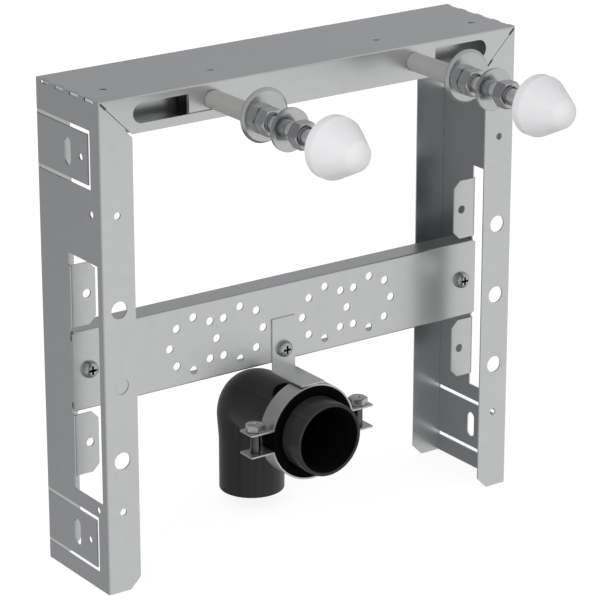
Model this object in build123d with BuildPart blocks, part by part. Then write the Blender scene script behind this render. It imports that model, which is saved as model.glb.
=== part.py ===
from build123d import *
import os

os.makedirs("parts", exist_ok=True)

# Folded sheet frame, an upside-down U whose posts and header are channels open to the inside
frame_width = 360.0
frame_height = 364.0
frame_depth = 83.5
sheet = 1.2
fold_radius = 0.8
flange_width = 26.5

# Mitred corners of the frame
mitre_gap = 0.5
corner_relief_gap = 1.6
corner_relief_length = 5.4
relief_slot_length = 6.7
relief_slot_width = 1.8
relief_slot_inset = 3.6
fold_slot_length = 11.6
fold_slot_pitch = 19.4
fold_slot_drop = 3.0
fold_slot_reach = 1.4
fold_slot_count = 4
fold_slot_middle = 42.3

# Holes of the posts: levels above the feet, drops below the top, depths behind the front face
flange_hole_inset = 13.2
crossbar_level = 156.8
level_pitch = 56.3
large_hole = 12.8
small_hole = 5.2
fixing_level_low = 61.4
fixing_drop_high = 82.4
web_hole_depth = 12.7
foot_chamfer = 8.5

# Window in each web, with three inward tabs folded from its rear edge
window_front = 6.3
window_low = 67.5
window_high = 245.8
tab_depth = 43.2
tab_reach = 20.4
tab_height = 46.3
tab_chamfer = 5.5
tab_relief = 1.9

# Wall flaps, cut free by a slit on three sides and folded out on site
flap_level_low = 34.4
flap_drop_high = 44.1
flap_height = 36.3
flap_front = 15.9
flap_rear_margin = 1.5
slit_width = 3.3
flap_slot_width = 8.4
flap_slot_length = 20.1
flap_slot_depth = 42.1
flap_hole_depth = 25.0

# Header slots for the basin studs, and small holes in its top
stud_spacing = 173.2
stud_drop = 12.7
header_slot_width = 14.4
header_slot_end_inset = 27.3
top_hole_inset = 20.3
top_hole_inner = 72.3
top_hole_depth = 26.8

# Rails under the header's top, channels open to the front in which the stud plates slide
rail_inner = 62.0
rail_outer = 168.0
rail_depth = 18.0
rail_drop = 24.5
rail_gap = 0.5

# Crossbar channel
crossbar_height = 60.0
crossbar_return = 19.0
crossbar_end_clearance = 0.4
crossbar_ear_trim = 1.4
ring_diameter = 40.8
ring_cluster = 58.4
ring_hole = 6.2
ring_hole_count = 8

# Pan head screws and their nuts
screw_diameter = 6.0
screw_clearance_hole = 6.4
thread_clearance = 0.1
pan_head_diameter = 13.0
pan_head_height = 4.8
recess_width = 1.7
recess_span = 6.6
recess_depth = 3.0
screw_nut_flats = 10.0
screw_nut_height = 5.0
screw_tail = 2.0

# Basin studs
stud_diameter = 10.8
stud_tail = 9.0
stud_cover = 15.6
sleeve_diameter = 14.0
sleeve_bore = 11.6
stud_nut_flats = 18.0
stud_nut_height = 10.8
plate_nut_height = 6.0
nut_chamfer = 0.9
plate_width = 40.0
plate_height = 20.0
plate_thickness = 2.5
plate_depth = 14.0
stud_hole = 11.4
rear_washer_start = 60.4
rear_washer_diameter = 38.8
rear_washer_thickness = 2.4
rear_washer_rise = 3.0
rear_washer_chamfer = 1.9
front_washer_start = 89.9
front_washer_diameter = 30.7
front_washer_thickness = 2.4
front_nut_start = 101.2
cap_start = 138.0
cap_diameter = 43.2
cap_rim = 7.0
cap_tip_radius = 12.0
cap_tip_arc = 63.6
cap_length = 35.6
cap_wall = 1.8
cap_boss_wall = 2.2

# Waste elbow
pipe_diameter = 50.0
pipe_wall = 1.8
body_diameter = 52.8
socket_bore = 50.4
socket_wall = 2.8
inlet_level = 82.8
inlet_reach = 17.2
socket_depth = 46.0
socket_length = 64.0
outlet_depth = 84.1
outlet_level = 11.6
spigot_level = 52.0
elbow_radius = 12.0

# Pipe clamp
lining_thickness = 7.4
lining_lip = 1.2
tongue_radius = 10.5
tongue_reach = 17.5
tongue_thickness = 1.6
band_thickness = 1.4
band_width = 16.0
band_front = 3.0
ear_gap = 15.6
ear_reach = 55.0
ear_chamfer = 0.8
clamp_bolt_diameter = 7.3
clamp_bolt_spread = 92.4
clamp_bolt_hole = 8.2
clamp_head_flats = 13.0
clamp_head_height = 5.5
clamp_head_dimple = 3.6
clamp_bolt_tail = 2.4

# Hanger bracket of the clamp
bracket_width = 20.6
bracket_top = 161.3
bracket_screw_level = 136.9
fit_gap = 0.1

pipe_radius = pipe_diameter / 2
body_radius = body_diameter / 2
socket_radius = socket_bore / 2 + socket_wall
cap_reach = cap_start + cap_length
stud_end = cap_reach - stud_cover
stud_level = frame_height - stud_drop
front_y = (cap_reach - outlet_depth - body_radius) / 2
rear_y = front_y + frame_depth
middle_y = front_y + frame_depth / 2
half_width = frame_width / 2
crossbar_y = front_y + tab_depth - sheet


def facing_front(y):
    """Plane at depth y whose sketches read as seen from the front: x to the right, z up."""
    return Plane.XZ.offset(-y)


def finish(piece, name):
    """Label a finished piece and write it under the same name."""
    piece.part.label = name
    export_step(piece.part, f"parts/{name}.step")


def channel_outline():
    """Middle line of the channel's section: flange, web and flange, in the web's own plane axes."""
    reach = flange_width - sheet / 2
    half = (frame_depth - sheet) / 2
    return [(reach, -half), (0, -half), (0, half), (reach, half)]


def corner_cuts(side):
    """Cut the perforations of the top fold and the small slot at the outer end of the mitre."""
    corner_x = side * half_width
    first = front_y + fold_slot_middle - (fold_slot_count - 1) / 2 * fold_slot_pitch
    spots = [(corner_x, first + n * fold_slot_pitch, frame_height) for n in range(fold_slot_count)]
    with Locations(*spots):
        Box(2 * fold_slot_reach, fold_slot_length, 2 * fold_slot_drop, mode=Mode.SUBTRACT)
    for y in (front_y, rear_y - sheet):
        with BuildSketch(facing_front(y)) as relief:
            with Locations((side * (half_width - relief_slot_inset), frame_height - relief_slot_inset)):
                SlotOverall(relief_slot_length, relief_slot_width, rotation=side * 45)
        extrude(relief.sketch, amount=-sheet, mode=Mode.SUBTRACT)


def mitre_band(side, start, end, gap):
    """Outline of a band under the mitre line, from start to end inward of the corner."""
    drop = gap * 2**0.5
    points = [(start, start), (end, end), (end, end + drop), (start, start + drop)]
    return [(side * (half_width - across), frame_height - down) for across, down in points]


# Posts
for side, post_name in ((-1, "left_post"), (1, "right_post")):
    outer_x = side * half_width
    web_x = side * (half_width - sheet / 2)
    hole_x = side * (half_width - flange_hole_inset)
    tab_middle_x = side * (half_width - tab_reach / 2)
    levels = [crossbar_level + n * level_pitch for n in (-1, 0, 1)]

    with BuildPart() as post:
        section = Plane(origin=(web_x, middle_y, 0), x_dir=(-side, 0, 0), z_dir=(0, 0, 1))
        with BuildSketch(section):
            with BuildLine():
                FilletPolyline(*channel_outline(), radius=fold_radius)
            trace(line_width=sheet)
        extrude(amount=frame_height)
        mitre = Plane(origin=(outer_x, front_y, frame_height), z_dir=(side, 0, -1))
        split(bisect_by=mitre, keep=Keep.TOP)
        corner_cuts(side)

        # Hairline gap of the mitre, wider at its inner end
        for y in (front_y, rear_y - sheet):
            with BuildSketch(facing_front(y)):
                Polygon(*mitre_band(side, sheet + fold_radius, flange_width + 1, mitre_gap), align=None)
                inner_start = flange_width - corner_relief_length
                Polygon(*mitre_band(side, inner_start, flange_width + 1, corner_relief_gap), align=None)
            extrude(amount=-sheet, mode=Mode.SUBTRACT)

        # Holes of the front flange and chamfered feet of both flanges
        with BuildSketch(facing_front(front_y)):
            with Locations(*[(hole_x, z) for z in levels]):
                Circle(large_hole / 2)
            with Locations((hole_x, fixing_level_low), (hole_x, frame_height - fixing_drop_high)):
                Circle(small_hole / 2)
        extrude(amount=-sheet, mode=Mode.SUBTRACT)
        inner_x = side * (half_width - flange_width)
        with BuildSketch(facing_front(front_y)):
            corner = [(inner_x, 0), (inner_x + side * foot_chamfer, 0), (inner_x, foot_chamfer)]
            Polygon(*corner, align=None)
        extrude(amount=-frame_depth, mode=Mode.SUBTRACT)

        # Window, flaps and holes of the web
        with BuildSketch(Plane.YZ.offset(outer_x)):
            window_rear = tab_depth + tab_relief
            with Locations((front_y + (window_front + window_rear) / 2, (window_low + window_high) / 2)):
                Rectangle(window_rear - window_front, window_high - window_low)
            with Locations(*[(front_y + (tab_depth + window_rear) / 2, z) for z in levels]):
                Rectangle(window_rear - tab_depth, tab_height, mode=Mode.SUBTRACT)
            with Locations((front_y + web_hole_depth, fixing_level_low),
                           (front_y + web_hole_depth, frame_height - fixing_drop_high)):
                Circle(small_hole / 2)
            flap_rear = frame_depth - flap_rear_margin
            for level in (flap_level_low, frame_height - flap_drop_high):
                outer_front = flap_front - slit_width
                with Locations((front_y + (outer_front + flap_rear) / 2, level)):
                    Rectangle(flap_rear - outer_front, flap_height + 2 * slit_width)
                with Locations((front_y + (flap_front + flap_rear) / 2, level)):
                    Rectangle(flap_rear - flap_front, flap_height, mode=Mode.SUBTRACT)
                with Locations((front_y + flap_slot_depth, level)):
                    SlotOverall(flap_slot_length, flap_slot_width, rotation=90)
                with Locations((front_y + flap_hole_depth, level)):
                    Circle(small_hole / 2)
        extrude(amount=-side * sheet, mode=Mode.SUBTRACT)

        # Inward tabs with a rounded fold at the window's rear edge
        with BuildSketch(facing_front(front_y + tab_depth)) as tabs:
            with Locations(*[(tab_middle_x, z) for z in levels]):
                Rectangle(tab_reach, tab_height)
            free_end = tabs.vertices().group_by(Axis.X)[0 if side > 0 else -1]
            chamfer(free_end, tab_chamfer)
            with Locations(*[(hole_x, z) for z in levels]):
                Circle(screw_clearance_hole / 2, mode=Mode.SUBTRACT)
        extrude(amount=-sheet)
        tab_folds = post.edges().filter_by(Axis.Z).filter_by_position(
            Axis.Y, front_y + tab_depth - 0.01, front_y + tab_depth + 0.01
        ).filter_by_position(Axis.X, outer_x - 0.01, outer_x + 0.01)
        fillet(tab_folds, sheet * 0.8)

    finish(post, post_name)

# Header
with BuildPart() as header:
    section = Plane(origin=(-half_width, middle_y, frame_height - sheet / 2),
                    x_dir=(0, 0, -1), z_dir=(1, 0, 0))
    with BuildSketch(section):
        with BuildLine():
            FilletPolyline(*channel_outline(), radius=fold_radius)
        trace(line_width=sheet)
    extrude(amount=frame_width)
    for side in (-1, 1):
        mitre = Plane(origin=(side * half_width, front_y, frame_height), z_dir=(-side, 0, 1))
        split(bisect_by=mitre, keep=Keep.TOP)
    for side in (-1, 1):
        corner_cuts(side)
    slot_inner = stud_spacing / 2 - header_slot_width / 2
    slot_outer = half_width - header_slot_end_inset
    slot_length = slot_outer - slot_inner
    slot_middle = (slot_outer + slot_inner) / 2
    with BuildSketch(facing_front(front_y)):
        with Locations((-slot_middle, stud_level), (slot_middle, stud_level)):
            SlotOverall(slot_length, header_slot_width)
    extrude(amount=-sheet, mode=Mode.SUBTRACT)
    top_hole_outer = half_width - top_hole_inset
    with BuildSketch(Plane.XY.offset(frame_height)):
        with Locations(*[(x, front_y + top_hole_depth)
                         for x in (-top_hole_outer, -top_hole_inner, top_hole_inner, top_hole_outer)]):
            Circle(small_hole / 2)
    extrude(amount=-sheet, mode=Mode.SUBTRACT)
finish(header, "header")

# Stud rails, one behind each header slot
for side, label in ((-1, "left"), (1, "right")):
    rail_front = front_y + sheet + rail_gap
    rail_rear = front_y + rail_depth + sheet / 2
    rail_top = frame_height - sheet * 1.5
    rail_floor = frame_height - rail_drop - sheet / 2
    with BuildPart() as rail:
        with BuildSketch(Plane.YZ.offset(rail_inner if side > 0 else -rail_outer)):
            with BuildLine():
                FilletPolyline((rail_front, rail_top), (rail_rear, rail_top), (rail_rear, rail_floor),
                               (rail_front, rail_floor), radius=fold_radius)
            trace(line_width=sheet)
        extrude(amount=rail_outer - rail_inner)
    finish(rail, f"stud_rail_{label}")

# Crossbar, a channel open to the rear with an ear at each end that passes through the window
crossbar_half = half_width - sheet - crossbar_end_clearance
with BuildPart() as crossbar:
    section = Plane(origin=(-crossbar_half, crossbar_y + sheet / 2, crossbar_level),
                    x_dir=(0, 1, 0), z_dir=(1, 0, 0))
    with BuildSketch(section):
        with BuildLine():
            half = (crossbar_height - sheet) / 2
            reach = crossbar_return - sheet / 2
            FilletPolyline((reach, -half), (0, -half), (0, half), (reach, half), radius=fold_radius)
        trace(line_width=sheet)
    extrude(amount=2 * crossbar_half)
    with BuildSketch(facing_front(crossbar_y)):
        with Locations((0, crossbar_level)):
            Rectangle(frame_width, crossbar_height - 2 * crossbar_ear_trim)
    extrude(amount=-sheet)
    with BuildSketch(facing_front(crossbar_y)):
        ring_centres = []
        for cluster in (-ring_cluster, ring_cluster):
            for shift in (-ring_diameter / 2, ring_diameter / 2):
                ring_centres.append((cluster + shift, crossbar_level))
        for centre in ring_centres:
            with Locations(centre):
                with PolarLocations(ring_diameter / 2, ring_hole_count):
                    Circle(ring_hole / 2)
        end_x = half_width - flange_hole_inset
        with Locations((-end_x, crossbar_level), (end_x, crossbar_level), (0, bracket_screw_level)):
            Circle(screw_clearance_hole / 2)
    extrude(amount=-sheet, mode=Mode.SUBTRACT)
finish(crossbar, "crossbar")


def hexagon_nut(name, plane, flats, height, bore):
    """Hexagon nut standing on a plane, its corners turned off to a cone at both ends."""
    with BuildPart() as nut:
        with BuildSketch(plane):
            Circle(flats / 3**0.5)
        extrude(amount=height)
        chamfer(nut.edges().filter_by(GeomType.CIRCLE), nut_chamfer * 2, nut_chamfer)
        with BuildSketch(plane):
            RegularPolygon(flats / 2, 6, major_radius=False)
            Circle(bore / 2, mode=Mode.SUBTRACT)
        extrude(amount=height, mode=Mode.INTERSECT)
    finish(nut, name)


def pan_head_screw(name, x, z, seat_y, grip):
    """Pan head screw with a cross recess, its head on the plane seat_y and its shank running back."""
    with BuildPart() as screw:
        with BuildSketch(facing_front(seat_y)):
            with Locations((x, z)):
                Circle(pan_head_diameter / 2)
        extrude(amount=pan_head_height)
        rim = screw.edges().filter_by(GeomType.CIRCLE).sort_by(Axis.Y)[0]
        fillet(rim, pan_head_height * 0.8)
        with BuildSketch(facing_front(seat_y)):
            with Locations((x, z)):
                Circle(screw_diameter / 2)
        extrude(amount=-(grip + screw_nut_height + screw_tail))
        with BuildSketch(facing_front(seat_y - pan_head_height)):
            with Locations((x, z)):
                Rectangle(recess_span, recess_width)
                Rectangle(recess_width, recess_span)
        extrude(amount=-recess_depth, taper=12, mode=Mode.SUBTRACT)
    finish(screw, name)


# Screws that hold the crossbar to the middle tabs, and the one that carries the bracket
for side, label in ((-1, "left"), (1, "right")):
    end_x = side * (half_width - flange_hole_inset)
    pan_head_screw(f"crossbar_screw_{label}", end_x, crossbar_level, crossbar_y, 2 * sheet)
    nut_plane = Plane(origin=(end_x, crossbar_y + 2 * sheet, crossbar_level), z_dir=(0, 1, 0))
    hexagon_nut(f"crossbar_nut_{label}", nut_plane, screw_nut_flats, screw_nut_height,
                screw_diameter + thread_clearance)
pan_head_screw("bracket_screw", 0, bracket_screw_level, crossbar_y - sheet, 2 * sheet)
bracket_nut_plane = Plane(origin=(0, crossbar_y + sheet, bracket_screw_level), z_dir=(0, 1, 0))
hexagon_nut("bracket_nut", bracket_nut_plane, screw_nut_flats, screw_nut_height,
            screw_diameter + thread_clearance)

# Basin studs
for side, label in ((-1, "left"), (1, "right")):
    stud_x = side * stud_spacing / 2

    with BuildPart() as slider:
        with BuildSketch(facing_front(front_y + sheet)):
            with Locations((stud_x, stud_level)):
                Rectangle(plate_width, plate_height)
                Circle(stud_hole / 2, mode=Mode.SUBTRACT)
        extrude(amount=-plate_thickness)
        with BuildSketch(facing_front(front_y + sheet)):
            end_shift = (plate_width - plate_thickness) / 2
            with Locations((stud_x - end_shift, stud_level), (stud_x + end_shift, stud_level)):
                Rectangle(plate_thickness, plate_height)
        extrude(amount=-plate_depth)
    finish(slider, f"stud_plate_{label}")

    with BuildPart() as stud:
        with BuildSketch(facing_front(front_y + sheet + plate_thickness + stud_tail)):
            with Locations((stud_x, stud_level)):
                Circle(stud_diameter / 2)
        extrude(amount=sheet + plate_thickness + stud_tail + stud_end)
        chamfer(stud.edges().filter_by(GeomType.CIRCLE), 1.0)
    finish(stud, f"stud_{label}")

    back_plane = Plane(origin=(stud_x, front_y + sheet + plate_thickness, stud_level),
                       x_dir=(1, 0, 0), z_dir=(0, 1, 0))
    hexagon_nut(f"plate_nut_{label}", back_plane, stud_nut_flats, plate_nut_height,
                stud_diameter + thread_clearance)

    with BuildPart() as sleeve:
        with BuildSketch(facing_front(front_y + sheet)):
            with Locations((stud_x, stud_level)):
                Circle(sleeve_diameter / 2)
                Circle(sleeve_bore / 2, mode=Mode.SUBTRACT)
        extrude(amount=sheet + rear_washer_start)
    finish(sleeve, f"spacer_sleeve_{label}")

    with BuildPart() as rear_washer:
        with BuildSketch(facing_front(front_y - rear_washer_start)):
            with Locations((stud_x, stud_level + rear_washer_rise)):
                Circle(rear_washer_diameter / 2)
        extrude(amount=rear_washer_thickness)
        chamfer(rear_washer.edges().sort_by(Axis.Y)[0], rear_washer_chamfer)
        with BuildSketch(facing_front(front_y - rear_washer_start)):
            with Locations((stud_x, stud_level)):
                Circle(stud_hole / 2)
        extrude(amount=rear_washer_thickness, mode=Mode.SUBTRACT)
    finish(rear_washer, f"rear_washer_{label}")

    rear_nut_y = front_y - rear_washer_start - rear_washer_thickness
    rear_nut_plane = Plane(origin=(stud_x, rear_nut_y, stud_level), z_dir=(0, -1, 0))
    hexagon_nut(f"rear_nut_{label}", rear_nut_plane, stud_nut_flats, stud_nut_height,
                stud_diameter + thread_clearance)

    with BuildPart() as front_washer:
        with BuildSketch(facing_front(front_y - front_washer_start)):
            with Locations((stud_x, stud_level)):
                Circle(front_washer_diameter / 2)
                Circle(stud_hole / 2, mode=Mode.SUBTRACT)
        extrude(amount=front_washer_thickness)
    finish(front_washer, f"front_washer_{label}")

    front_nut_plane = Plane(origin=(stud_x, front_y - front_nut_start, stud_level), z_dir=(0, -1, 0))
    hexagon_nut(f"front_nut_{label}", front_nut_plane, stud_nut_flats, stud_nut_height,
                stud_diameter + thread_clearance)

    # Cap: a rim, a cone and a rounded tip, hollow, with a boss that grips the stud's end
    cap_plane = Plane(origin=(stud_x, front_y - cap_start, stud_level), x_dir=(1, 0, 0), z_dir=(0, 0, 1))
    tip_centre = cap_reach - cap_start - cap_tip_radius
    with BuildPart() as cap:
        with BuildSketch(cap_plane):
            with BuildLine():
                base = Line((0, 0), (cap_diameter / 2, 0))
                rim = Line(base @ 1, (cap_diameter / 2, -cap_rim))
                tip = CenterArc((0, -tip_centre), cap_tip_radius, 270, cap_tip_arc)
                Line(rim @ 1, tip @ 1)
                Line(tip @ 0, (0, 0))
            make_face()
        revolve(axis=Axis((stud_x, front_y, stud_level), (0, 1, 0)))
        outer_form = cap.part
        hollow_face = cap.faces().filter_by(Axis.Y).sort_by(Axis.Y)[-1]
        offset(amount=-cap_wall, openings=hollow_face)
        with BuildSketch(facing_front(front_y - cap_start - cap_wall)):
            with Locations((stud_x, stud_level)):
                Circle(stud_diameter / 2 + fit_gap + cap_boss_wall)
        boss = extrude(amount=cap_length, mode=Mode.PRIVATE)
        add(boss & outer_form)
        with BuildSketch(facing_front(front_y - cap_start)):
            with Locations((stud_x, stud_level)):
                Circle(stud_diameter / 2 + fit_gap)
        extrude(amount=stud_end - cap_start + fit_gap, mode=Mode.SUBTRACT)
    finish(cap, f"stud_cap_{label}")

# Waste elbow: socket to the front, spigot down
inlet_y = front_y - inlet_reach
outlet_y = front_y + outlet_depth


def bent_run(front_radius, bend_radius, spigot_radius):
    """Solid of revolution runs joined by a close quarter bend: level from the inlet, then straight down."""
    bend_y = outlet_y - elbow_radius
    bend_z = inlet_level - elbow_radius
    with BuildPart() as run:
        with BuildSketch(Plane.YZ):
            Polygon((inlet_y, inlet_level), (inlet_y, inlet_level + front_radius),
                    (inlet_y + socket_length, inlet_level + front_radius),
                    (bend_y, inlet_level + bend_radius), (bend_y, inlet_level), align=None)
        revolve(axis=Axis((0, inlet_y, inlet_level), (0, 1, 0)))
        with BuildSketch(Plane.YZ):
            Polygon((outlet_y, bend_z), (outlet_y + bend_radius, bend_z),
                    (outlet_y + spigot_radius, spigot_level),
                    (outlet_y + spigot_radius, outlet_level), (outlet_y, outlet_level), align=None)
        revolve(axis=Axis((0, outlet_y, outlet_level), (0, 0, 1)))
        with BuildSketch(facing_front(bend_y)):
            with Locations((0, inlet_level)):
                Circle(bend_radius)
            with Locations((0, bend_z - bend_radius)):
                Rectangle(3 * bend_radius, 2 * bend_radius, mode=Mode.SUBTRACT)
        revolve(axis=Axis((0, bend_y, bend_z), (-1, 0, 0)), revolution_arc=90)
    return run.part


with BuildPart() as elbow:
    add(bent_run(socket_radius, body_radius, pipe_radius))
    bore_radius = pipe_radius - pipe_wall
    add(bent_run(bore_radius, bore_radius, bore_radius), mode=Mode.SUBTRACT)
    with BuildSketch(facing_front(inlet_y)):
        with Locations((0, inlet_level)):
            Circle(socket_bore / 2)
    extrude(amount=-socket_depth, mode=Mode.SUBTRACT)
finish(elbow, "waste_elbow")

# Pipe clamp: rubber lining and two band halves with ears
lining_bore = socket_radius + fit_gap
lining_radius = lining_bore + lining_thickness
band_inner = lining_radius + fit_gap
band_outer = band_inner + band_thickness
clamp_y = front_y + band_front

with BuildPart() as lining:
    with BuildSketch(facing_front(clamp_y - lining_lip)):
        with Locations((0, inlet_level)):
            Circle(lining_radius)
            Circle(lining_bore, mode=Mode.SUBTRACT)
    extrude(amount=-(band_width + 2 * lining_lip))
    tongue_y = clamp_y + band_width + tongue_reach - tongue_radius
    with BuildSketch(facing_front(tongue_y + tongue_radius)):
        with Locations((0, inlet_level)):
            Circle(lining_bore + tongue_thickness)
            Circle(lining_bore, mode=Mode.SUBTRACT)
    tongue_ring = extrude(amount=tongue_radius + tongue_y - clamp_y - lining_lip, mode=Mode.PRIVATE)
    with BuildSketch(Plane.XY.offset(inlet_level)):
        with Locations((0, tongue_y)):
            Circle(tongue_radius)
        with Locations((0, (tongue_y + clamp_y) / 2)):
            Rectangle(2 * tongue_radius, tongue_y - clamp_y)
    tongue_shape = extrude(amount=lining_radius, mode=Mode.PRIVATE)
    add(tongue_ring & tongue_shape)
finish(lining, "clamp_lining")

for sign, half_name in ((1, "clamp_upper_half"), (-1, "clamp_lower_half")):
    with BuildPart() as band:
        with BuildSketch(facing_front(clamp_y)):
            ear_low = ear_gap / 2
            with Locations((0, inlet_level)):
                Circle(band_outer)
            with Locations((0, inlet_level - sign * (band_outer - ear_low))):
                Rectangle(3 * band_outer, 2 * band_outer, mode=Mode.SUBTRACT)
            with Locations((0, inlet_level + sign * (ear_low + band_thickness / 2))):
                Rectangle(2 * ear_reach, band_thickness)
            with Locations((0, inlet_level)):
                Circle(band_inner, mode=Mode.SUBTRACT)
        extrude(amount=-band_width)
        tips = band.edges().filter_by(Axis.Z).filter_by(lambda e: abs(abs(e.center().X) - ear_reach) < 0.01)
        chamfer(tips, ear_chamfer)
        bolt_spots = [(x, clamp_y + band_width / 2, inlet_level)
                      for x in (-clamp_bolt_spread / 2, clamp_bolt_spread / 2)]
        with Locations(*bolt_spots):
            Cylinder(clamp_bolt_hole / 2, 4 * ear_gap, mode=Mode.SUBTRACT)
    finish(band, half_name)

# Bolts of the clamp: a hexagon head with a dimple on the upper ear, the shank screwed through the lower ear
for side, label in ((-1, "left"), (1, "right")):
    bolt_x = side * clamp_bolt_spread / 2
    bolt_y = clamp_y + band_width / 2
    ear_top = inlet_level + ear_gap / 2 + band_thickness
    ear_bottom = inlet_level - ear_gap / 2 - band_thickness
    with BuildPart() as bolt:
        with BuildSketch(Plane(origin=(bolt_x, bolt_y, ear_top))):
            Circle(clamp_head_flats / 3**0.5)
        extrude(amount=clamp_head_height)
        chamfer(bolt.edges().group_by(Axis.Z)[-1], nut_chamfer, nut_chamfer * 2)
        with BuildSketch(Plane(origin=(bolt_x, bolt_y, ear_top))):
            RegularPolygon(clamp_head_flats / 2, 6, major_radius=False)
        extrude(amount=clamp_head_height, mode=Mode.INTERSECT)
        with Locations((bolt_x, bolt_y, ear_top + clamp_head_height)):
            Sphere(clamp_head_dimple / 2, mode=Mode.SUBTRACT)
        with BuildSketch(Plane(origin=(bolt_x, bolt_y, ear_top))):
            Circle(clamp_bolt_diameter / 2)
        extrude(amount=-(ear_top - ear_bottom + clamp_bolt_tail))
        chamfer(bolt.edges().group_by(Axis.Z)[0], nut_chamfer)
    finish(bolt, f"clamp_bolt_{label}")

# Hanger bracket: a tab on the crossbar's front, folded forward over the clamp
strap_z = inlet_level + band_outer + sheet / 2
with BuildPart() as bracket:
    with BuildSketch(Plane.YZ.offset(-bracket_width / 2)):
        with BuildLine():
            FilletPolyline((crossbar_y - sheet / 2, bracket_top), (crossbar_y - sheet / 2, strap_z),
                           (clamp_y, strap_z), radius=fold_radius)
        trace(line_width=sheet)
    extrude(amount=bracket_width)
    with BuildSketch(facing_front(crossbar_y)):
        with Locations((0, bracket_screw_level)):
            Circle(screw_clearance_hole / 2)
    extrude(amount=sheet, mode=Mode.SUBTRACT)
finish(bracket, "clamp_bracket")
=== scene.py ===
"""Washbasin installation frame: the finished look of every piece, and the studio it stands in.

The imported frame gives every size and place. Sheet pieces keep their solids and get a rounded edge and a
finish. Round pieces are new surfaces, worked out as arrays, that stand for their solids.
"""
import math

import bmesh
import bpy
import numpy as np
from bpy.props import FloatProperty, FloatVectorProperty, PointerProperty
from bpy.types import Operator, Panel, PropertyGroup
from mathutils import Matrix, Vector


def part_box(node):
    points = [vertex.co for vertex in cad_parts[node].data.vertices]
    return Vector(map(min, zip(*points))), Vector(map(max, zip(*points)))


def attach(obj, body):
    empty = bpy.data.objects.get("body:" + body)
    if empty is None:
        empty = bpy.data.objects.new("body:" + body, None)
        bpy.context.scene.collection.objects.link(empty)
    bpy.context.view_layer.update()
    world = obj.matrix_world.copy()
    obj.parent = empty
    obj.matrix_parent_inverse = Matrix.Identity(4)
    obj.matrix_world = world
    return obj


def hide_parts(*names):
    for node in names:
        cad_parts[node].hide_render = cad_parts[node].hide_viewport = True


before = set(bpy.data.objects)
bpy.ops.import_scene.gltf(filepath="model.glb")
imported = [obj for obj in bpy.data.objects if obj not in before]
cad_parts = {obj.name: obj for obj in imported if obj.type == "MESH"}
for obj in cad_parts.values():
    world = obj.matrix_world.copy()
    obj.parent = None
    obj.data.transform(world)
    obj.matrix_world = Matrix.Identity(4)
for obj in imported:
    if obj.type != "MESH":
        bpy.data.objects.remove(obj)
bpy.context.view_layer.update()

bl_info = {
    "name": "Washbasin Installation Frame",
    "version": (1, 0, 0),
    "blender": (4, 5, 0),
    "location": "View3D > Sidebar > Basin Frame",
    "description": "Dresses the pieces of a washbasin installation frame and lights them",
    "category": "Object",
}

MM = 0.001
BODY = "root"
SIDES = ("left", "right")
FORWARD = (0, -1, 0)
BACKWARD = (0, 1, 0)
UPWARD = (0, 0, 1)
ROUND_COLUMNS = 96
FINE_COLUMNS = 128
SMOOTH_ANGLE = math.radians(32)
CAP_CREASE_ANGLE = math.radians(9)

# Sizes and turns that the sidebar doesn't offer
SHEET = 1.2 * MM
FOLD_DEPTH = 1.5 * MM
WASHER_BORE = 5.7 * MM
STUD_NUT_BORE = 5.45 * MM
# Depth behind the plates' front where their painted shade begins
SLIDER_SHADE_DEPTH = 2.5 * MM
RECESS_SHADE_DEPTH = 0.55 * MM
CAP_HOLLOW = 26 * MM
CAP_SLOPE = 0.48
BOLT_TURNS = {"left": math.radians(8), "right": math.radians(21)}
TONGUE_TURN = math.radians(-17)

# Screen greys of the finishes, and of the painted shade, that the sidebar doesn't offer
# Painted shade on a channel's inner faces
CHANNEL_PAINTED_SHADE = 168
# Painted shade on the sliders' sides behind their front
SLIDER_PAINTED_SHADE = 40
BAND_GREY = 202
# Painted shade on the clamp bolts' shanks below their heads
BOLT_SHANK_PAINTED_SHADE = 96
# Painted shade in the screws' cross recesses
SCREW_RECESS_SHADE = 26
# Painted shade inside the caps
CAP_INSIDE_PAINTED_SHADE = 182
SLEEVE_GREYS = (163, 173)
PIPE_GREYS = (40, 54)
# Painted shade in the elbow's bore
PIPE_BORE_PAINTED_SHADE = 3
RUBBER_GREYS = (4, 9)

# How much lighter, darker or duller than the sidebar's zinc these fixings are
ROD_TONE = 34
CLAMP_TONE = 6
CLAMP_BLUR = 0.06
SCREW_TONE = -10
SCREW_NUT_TONE = -4

# The light: where it is strongest, and its colour in front and behind
BRIGHT_SIDE = (0.512, -0.723, -0.465)
FRONT_LIGHT = (0.791, 0.8, 0.789, 1.0)
BACK_LIGHT = (0.768, 0.768, 0.8, 1.0)
WHITE = (1.0, 1.0, 1.0, 1.0)
FLOOR_GLOW = 1.42
FLOOR_GLOW_SHARE = 0.6
KEY_PLACE = (-2.2, -0.6, 2.0)
FILL_PLACE = (0.2, -2.6, 1.2)


# Shader maths

class Link:
    """A socket's output that takes part in Python sums, each of which adds a Math node."""

    def __init__(self, shader, socket):
        self.shader = shader
        self.socket = socket

    def __add__(self, other):
        return self.shader.math("ADD", self, other)

    def __radd__(self, other):
        return self.shader.math("ADD", other, self)

    def __sub__(self, other):
        return self.shader.math("SUBTRACT", self, other)

    def __rsub__(self, other):
        return self.shader.math("SUBTRACT", other, self)

    def __mul__(self, other):
        return self.shader.math("MULTIPLY", self, other)

    def __rmul__(self, other):
        return self.shader.math("MULTIPLY", other, self)

    def __truediv__(self, other):
        return self.shader.math("DIVIDE", self, other)


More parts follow.
